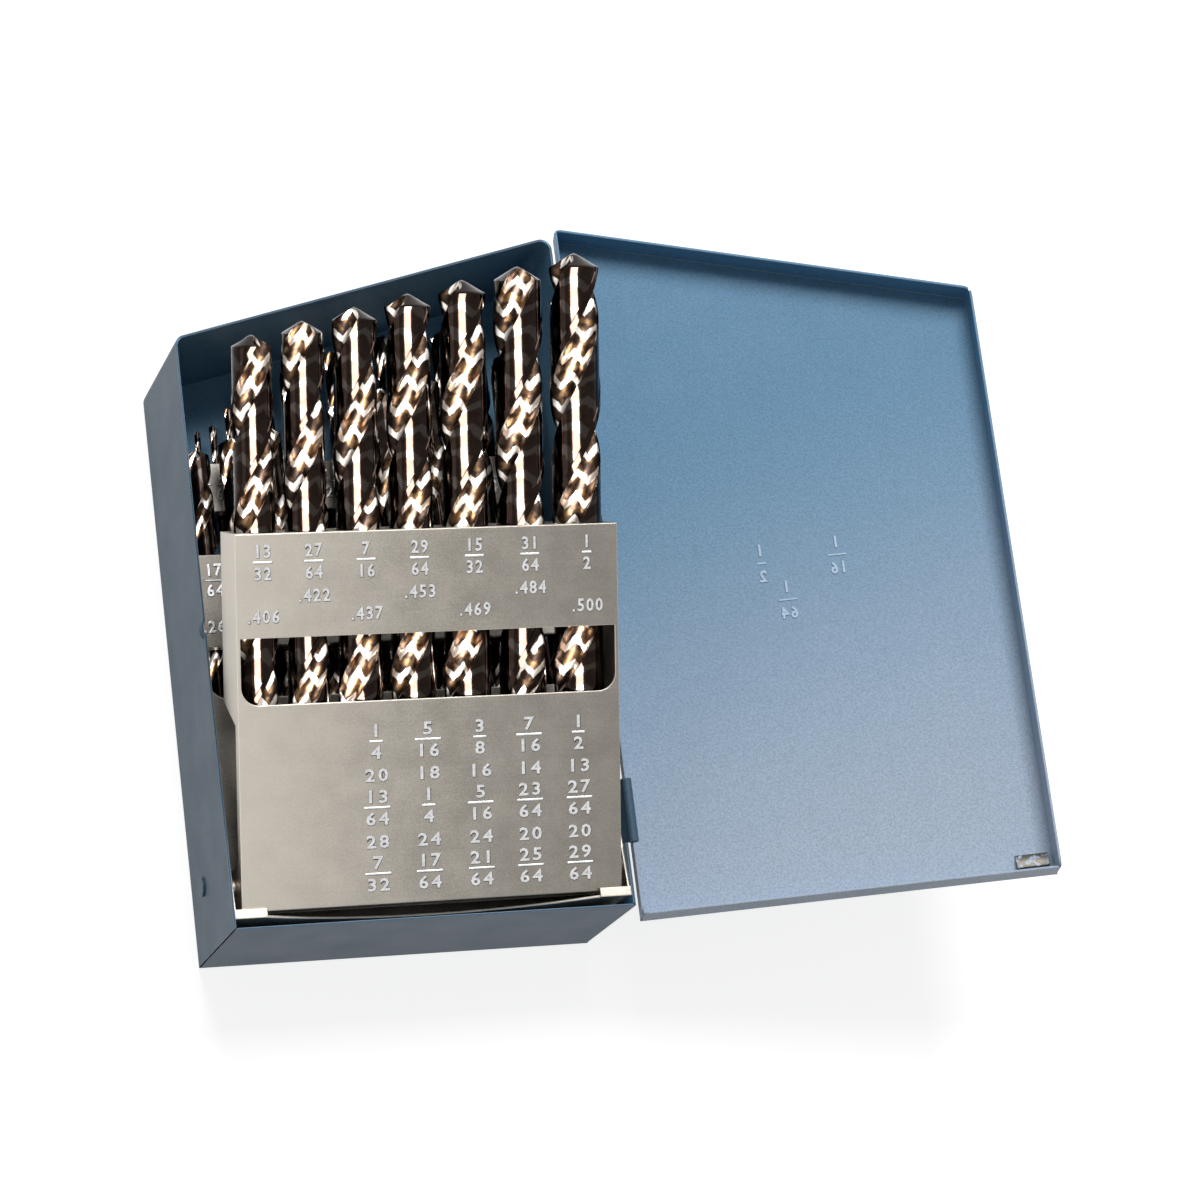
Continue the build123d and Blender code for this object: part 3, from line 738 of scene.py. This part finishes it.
class Stamps:
    """Digits and fraction bars gathered into one mesh, on a plane whose +Z points out of the sheet."""

    def __init__(self, digit_height, rise, swell=0.0, shift=(0.0, 0.0)):
        self.height = digit_height
        self.rise = rise
        self.swell = swell
        self.shift = np.array(shift + (0.0,))
        self.glyphs = {}
        self.points = []
        self.faces = []
        self.count = 0

    def add(self, points, faces):
        """Adds a shape, with its faces numbered on from those that are there."""
        self.points.append(points + self.shift)
        self.faces += [tuple(corner + self.count for corner in face) for face in faces]
        self.count += len(points)

    def digit(self, character, x, y, width):
        """One digit of a given width, centred on (x, y)."""
        if character not in self.glyphs:
            self.glyphs[character] = glyph(character, self.swell)
        points, faces = self.glyphs[character]
        tall = glyph_height(self.glyphs.setdefault("0", glyph("0", self.swell)))
        wide = np.ptp(self.glyphs["0"][0][:, 0])
        low, high = points.min(0), points.max(0)
        middle = (low + high) / 2
        scaled = (points - middle) * [width / wide, self.height / tall, 1.0]
        scaled[:, 2] = (points[:, 2] - low[2]) / (high[2] - low[2]) * self.rise
        level = -self.height / 2 + (high[1] - low[1]) / tall * self.height / 2 if character == "." else 0.0
        self.add(scaled + [x, y + level, 0.0], faces)

    def number(self, text, x, y, digits):
        """A row of digits centred on (x, y); digits is (width of one, gap between two)."""
        width, gap = digits
        starts = [0.0]
        for character in text:
            starts.append(starts[-1] + (width * POINT_WIDTH if character == "." else width) + gap)
        whole = starts[-1] - gap
        for character, start, following in zip(text, starts, starts[1:]):
            self.digit(character, x - whole / 2 + (start + following - gap) / 2, y, width)

    def bar(self, x, y, length, thickness=BAR_THICKNESS):
        """A fraction's bar: a stadium outline at the sheet and at half the rise, and a smaller one on top."""
        turn = np.linspace(0, 2 * pi, 16, endpoint=False) + pi / 16
        radius = thickness / 2
        reach = np.sign(np.cos(turn)) * (length / 2 - radius)
        rings = []
        for share, level in ((1.0, 0.0), (1.0, 0.5), (0.55, 1.0)):
            ring = np.stack([
                reach + share * radius * np.cos(turn), share * radius * np.sin(turn),
                np.full_like(turn, level * self.rise)], -1)
            rings.append(ring)
        count = len(turn)
        faces = [tuple(reversed(range(count))), tuple(range(2 * count, 3 * count))]
        for level in range(2):
            for step in range(count):
                after = (step + 1) % count
                low, high = level * count, (level + 1) * count
                faces.append((low + step, low + after, high + after, high + step))
        self.add(np.concatenate(rings) + [x, y, 0.0], faces)

    def entry(self, text, x, y, digits, spread=FRACTION_SPREAD):
        """A whole number, or a fraction with its bar, centred on (x, y)."""
        if "/" not in text:
            self.number(text, x, y, digits)
            return
        numerator, denominator = text.split("/")
        longest = max(len(numerator), len(denominator))
        self.number(numerator, x, y + spread, digits)
        self.number(denominator, x, y - spread, digits)
        self.bar(x, y, longest * sum(digits) + 0.2)

    def placed(self, place):
        """All the points after a placing function."""
        return place(np.concatenate(self.points))


def glyph_height(shape):
    """Height of a glyph's outline."""
    return np.ptp(shape[0][:, 1])


def stamp_pair(name, fill, place, body, sizes, materials, mirrored=False):
    """Crests of a set of numbers in a painted highlight, and a painted shadow that shows round them as a
    wider, lower copy shifted down and to the right, as two pieces.
    """
    height, rise = sizes.digit_height / MM, sizes.digit_rise / MM
    layers = (
        ("crests", Stamps(height, rise, 0.008), materials[0]),
        # Painted shadow: a wider, lower, darker copy shifted down and to the right
        ("feet", Stamps(height * 1.04, rise * 0.3, 0.045, (0.10, -0.10)), materials[1]))
    for part, stamps, material in layers:
        fill(stamps)
        faces = [face[::-1] for face in stamps.faces] if mirrored else stamps.faces
        add_piece(f"{name}_{part}", stamps.placed(place), faces, material, body)


# --- Operators ------------------------------------------------------------------------------------


def settings(context):
    """The add-on's finishes and sizes."""
    return context.scene.drill_case_finishes, context.scene.drill_case_sizes


class DRILLCASE_OT_enamel(bpy.types.Operator):
    """Paint the case and its lid in hammered enamel"""
    bl_idname = "drillcase.enamel"
    bl_label = "Enamel Case"

    def execute(self, context):
        finishes, sizes = settings(context)
        case = hammered_enamel("hammered_enamel", finishes, sizes)
        coat("body_shell", case)
        coat("wall_rivets", case)
        coat("lid_shell", hammered_enamel("lid_enamel", finishes, sizes, lid=True))
        return {"FINISHED"}


class DRILLCASE_OT_plating(bpy.types.Operator):
    """Plate the cradle, the racks and their rivets"""
    bl_idname = "drillcase.plating"
    bl_label = "Plate Racks"

    def execute(self, context):
        finishes, sizes = settings(context)
        # Painted light on the left of the front rack's face, painted shade on its right
        face = plated_sheet("front_plate", finishes, sizes, painted_light_on_left=0.75)
        # Shaded and lit copies of one plated steel: painted shade on the guides, floors and back faces,
        # painted light on the cradle and pins
        painted_shade_plate = plated_sheet("dull_plate", finishes, sizes, shade=0.72)
        bright = plated_sheet("bright_plate", finishes, sizes, shade=1.5)
        coat("front_rack_face", face)
        coat("rack_cradle", bright)
        for rack in RACKS:
            if rack is not FRONT_RACK:
                coat(f"{rack.name}_rack_face", painted_shade_plate)
            coat(f"{rack.name}_rack_guide", painted_shade_plate)
            coat(f"{rack.name}_rack_floor", painted_shade_plate)
            coat(f"{rack.name}_rack_pins", bright)
        return {"FINISHED"}


class DRILLCASE_OT_drills(bpy.types.Operator):
    """Make the twist drills, each in its own holes"""
    bl_idname = "drillcase.drills"
    bl_label = "Make Drills"

    def execute(self, context):
        finishes, _ = settings(context)
        material = oxide_steel("black_oxide", finishes)
        for rack in RACKS:
            for size, x in rack.drill_places:
                make_drill(rack, size, x, material)
        return {"FINISHED"}


class DRILLCASE_OT_strip_numbers(bpy.types.Operator):
    """Stamp each drill's size on its rack's strip, as a fraction and, except on the rear rack, as a decimal"""
    bl_idname = "drillcase.strip_numbers"
    bl_label = "Stamp Strip Numbers"

    def execute(self, context):
        finishes, sizes = settings(context)
        # Painted shadow and painted highlight of the stamped numbers
        dark = stamped_crest("number_foot", finishes.stamped_foot, 0.4)
        bright = stamped_crest("number_crest", finishes.stamped, 0.25)
        for rack in RACKS:
            stamp_pair(
                f"{rack.name}_strip_numbers", lambda stamps: self.fill(rack, stamps),
                lambda points: rack.to_case(points + [0.0, 0.0, rack.face]),
                f"{rack.name}_rack", sizes, (bright, dark))
        return {"FINISHED"}

    def fill(self, rack, stamps):
        """Fractions in a row above the drills' decimals, which stand at two heights by turns."""
        for place, (size, x) in enumerate(rack.drill_places):
            narrow = min(1.0, (size * SIXTY_FOURTH + rack.drill_gap) / FULL_WIDTH_PITCH)
            digits = tuple(narrow * length for length in STRIP_DIGITS)
            text = "/".join(str(part) for part in fraction_of(size))
            stamps.entry(text, x, rack.numerator_height - FRACTION_SPREAD, digits)
            if rack is not REAR_RACK:
                decimal = f"{size / 64 - HALF_ROUNDS_DOWN:.3f}".lstrip("0")
                stamps.number(decimal, x, rack.decimal_heights[place % 2], digits)


class DRILLCASE_OT_table_numbers(bpy.types.Operator):
    """Stamp the table of numbers on the front rack's panel"""
    bl_idname = "drillcase.table_numbers"
    bl_label = "Stamp Table"

    def execute(self, context):
        finishes, sizes = settings(context)
        # Painted shadow and painted highlight of the stamped numbers
        dark = stamped_crest("table_foot", finishes.stamped_foot, 0.4)
        bright = stamped_crest("table_crest", finishes.stamped, 0.25)
        stamp_pair(
            "table_numbers", self.fill,
            lambda points: FRONT_RACK.to_case(points + [0.0, 0.0, FRONT_RACK.face]),
            "front_rack", sizes, (bright, dark))
        return {"FINISHED"}

    def fill(self, stamps):
        for height, entries in TABLE_ROWS:
            for x, text in zip(TABLE_COLUMNS, entries):
                stamps.entry(text, x, height, TABLE_DIGITS)


class DRILLCASE_OT_lid_numbers(bpy.types.Operator):
    """Press the sizes into the lid, where they read backwards from inside"""
    bl_idname = "drillcase.lid_numbers"
    bl_label = "Press Lid Numbers"

    def execute(self, context):
        finishes, sizes = settings(context)
        # Lighter and darker copies of the lid enamel: painted highlight on the crests and painted shadow round
        # them
        crest = stamped_lid(finishes, "lid_number_crest", 1.55)
        foot = stamped_lid(finishes, "lid_number_foot", 0.38)
        stamp_pair(
            "lid_numbers", self.fill, self.place, "lid", sizes, (crest, foot), mirrored=True)
        return {"FINISHED"}

    def fill(self, stamps):
        for across, height, text in LID_NUMBERS:
            stamps.entry(text, -across, height, STRIP_DIGITS, spread=LID_FRACTION_SPREAD)

    def place(self, points):
        """Mirrors the numbers and lays them on the lid's inner face."""
        across, height, out = -points[:, :1], points[:, 1:2], points[:, 2:]
        placed = LID_FACE_START + across * LID_ACROSS + height * [0.0, 1.0, 0.0] + out * LID_OUT
        return (placed - CASE_MIDDLE) * MM


# --- Stage ----------------------------------------------------------------------------------------


class DRILLCASE_OT_stage(bpy.types.Operator):
    """Lay the floor, set the lamps and place the camera"""
    bl_idname = "drillcase.stage"
    bl_label = "Set Stage"

    def execute(self, context):
        self.lay_floor(context)
        self.light_world(context)
        self.place_camera(context)
        for lamp in LAMPS:
            self.hang_lamp(context, *lamp)
        self.shine_on_drills(context)
        context.scene.view_settings.view_transform = "Standard"
        return {"FINISHED"}

    def lay_floor(self, context):
        """Flat square under the case that looks white to the camera and still takes its shadow."""
        corners = [(FLOOR_HALF * x, FLOOR_HALF * y, 0.0) for x, y in ((-1, -1), (1, -1), (1, 1), (-1, 1))]
        mesh = bpy.data.meshes.new("floor")
        mesh.from_pydata(corners, [], [(0, 1, 2, 3)])
        floor = bpy.data.objects.new("floor", mesh)
        context.scene.collection.objects.link(floor)
        graph = new_material("floor_paper")
        paper = graph.node("ShaderNodeBsdfDiffuse", None, {"Color": (FLOOR_TONE, FLOOR_TONE, FLOOR_TONE, 1.0)})
        glow = graph.node("ShaderNodeEmission", None, {"Color": WHITE, "Strength": FLOOR_GLOW})
        both = graph.node("ShaderNodeAddShader", None, {0: paper, 1: glow})
        surface = graph.node("ShaderNodeMixShader", None, {0: graph.looked_at(), 1: paper, 2: both})
        graph.node("ShaderNodeOutputMaterial", None, {"Surface": surface})
        mesh.materials.append(graph.owner)

    def light_world(self, context):
        """Even pale light from all round, which shows as plain white where it is looked at."""
        world = bpy.data.worlds.new("pale_world")
        graph = Graph(world)
        strength = graph.node(
            "ShaderNodeMapRange", None,
            {"Value": graph.looked_at(), "To Min": WORLD_STRENGTH, "To Max": 1.0}, output="Result")
        background = graph.node("ShaderNodeBackground", None, {"Color": WHITE, "Strength": strength})
        graph.node("ShaderNodeOutputWorld", None, {"Surface": background})
        context.scene.world = world

    def place_camera(self, context):
        """The camera that looks down on the open case."""
        data = bpy.data.cameras.new("camera")
        data.sensor_width = CAMERA_SENSOR
        data.lens = CAMERA_LENS
        data.clip_start = CAMERA_NEAREST
        camera = bpy.data.objects.new("camera", data)
        camera.location = CAMERA_PLACE
        camera.rotation_euler = [radians(angle) for angle in CAMERA_TURN]
        context.scene.collection.objects.link(camera)
        context.scene.camera = camera

    def shine_on_drills(self, context):
        """A wide screen of light that only the drills mirror, as a band along their lands."""
        mirrors = bpy.data.collections.new("drills_in_the_screen")
        for piece in bpy.data.objects:
            if piece.name.startswith("twist_drill"):
                mirrors.objects.link(piece)
        screen = self.hang_lamp(context, *DRILL_SCREEN)
        screen.light_linking.receiver_collection = mirrors

    def hang_lamp(self, context, name, place, aim, size, power, tint):
        """One rectangular lamp that shines from its place towards its aim."""
        data = bpy.data.lights.new(name, "AREA")
        data.shape = "RECTANGLE"
        data.size, data.size_y = size
        data.energy = power
        data.color = tint
        lamp = bpy.data.objects.new(name, data)
        lamp.location = place
        lamp.rotation_euler = look_along(np.subtract(aim, place))
        context.scene.collection.objects.link(lamp)
        return lamp


def look_along(direction):
    """Euler angles that point a lamp's -Z along a direction, with its own Y kept as near +Y as it can be."""
    x, y, z = direction / np.linalg.norm(direction)
    pitch = np.arcsin(np.clip(y, -1, 1))
    roll = np.arctan2(-x, -z)
    return Euler((pitch, roll, 0.0), "XYZ")


class DRILLCASE_PT_panel(bpy.types.Panel):
    """Shows the case's finishes and sizes, and a button for each operator"""
    bl_idname = "DRILLCASE_PT_panel"
    bl_label = "Drill Bit Case"
    bl_space_type = "VIEW_3D"
    bl_region_type = "UI"
    bl_category = "Drill Case"

    def draw(self, context):
        for group in settings(context):
            for name in group.__annotations__:
                self.layout.prop(group, name)
        for operator in OPERATORS:
            self.layout.operator(operator.bl_idname)


OPERATORS = (
    DRILLCASE_OT_enamel,
    DRILLCASE_OT_plating,
    DRILLCASE_OT_drills,
    DRILLCASE_OT_strip_numbers,
    DRILLCASE_OT_table_numbers,
    DRILLCASE_OT_lid_numbers,
    DRILLCASE_OT_stage,
)
CLASSES = (CaseFinishes, CaseSizes) + OPERATORS + (DRILLCASE_PT_panel,)


def register():
    for each in CLASSES:
        bpy.utils.register_class(each)
    bpy.types.Scene.drill_case_finishes = PointerProperty(type=CaseFinishes)
    bpy.types.Scene.drill_case_sizes = PointerProperty(type=CaseSizes)


def unregister():
    del bpy.types.Scene.drill_case_sizes
    del bpy.types.Scene.drill_case_finishes
    for each in reversed(CLASSES):
        bpy.utils.unregister_class(each)


def main():
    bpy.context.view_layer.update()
    register()
    bpy.ops.drillcase.enamel()
    bpy.ops.drillcase.plating()
    bpy.ops.drillcase.drills()
    bpy.ops.drillcase.strip_numbers()
    bpy.ops.drillcase.table_numbers()
    bpy.ops.drillcase.lid_numbers()
    bpy.ops.drillcase.stage()


if __name__ == "__main__":
    main()
